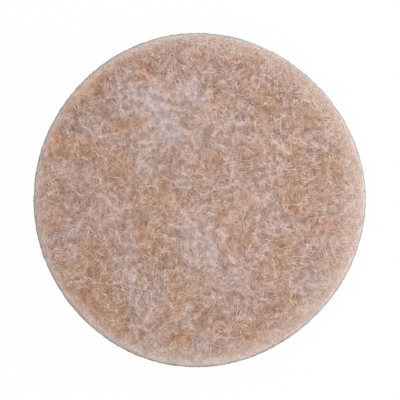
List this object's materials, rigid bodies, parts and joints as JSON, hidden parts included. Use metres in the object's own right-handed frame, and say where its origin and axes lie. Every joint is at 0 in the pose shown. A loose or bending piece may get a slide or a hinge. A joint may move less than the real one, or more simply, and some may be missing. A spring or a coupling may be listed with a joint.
{
  "type": "felt furniture pad",
  "caption": "Round pad of needled felt, stuck under a furniture leg by its back so that its soft wear face slides on the floor.",
  "frame": {"origin": "middle of the back, the flat face that is stuck to the furniture and that the pad lies on here", "axes": "+Z out of the wear face, the soft face that meets the floor in use; X and Y lie in the back face, and +Y is up in the picture"},
  "size_m": [0.025, 0.0252, 0.003],
  "materials": {
    "felt": "matte"
  },
  "bodies": {
    "root": {"felt_pad": "felt"}
  },
  "joints": []
}
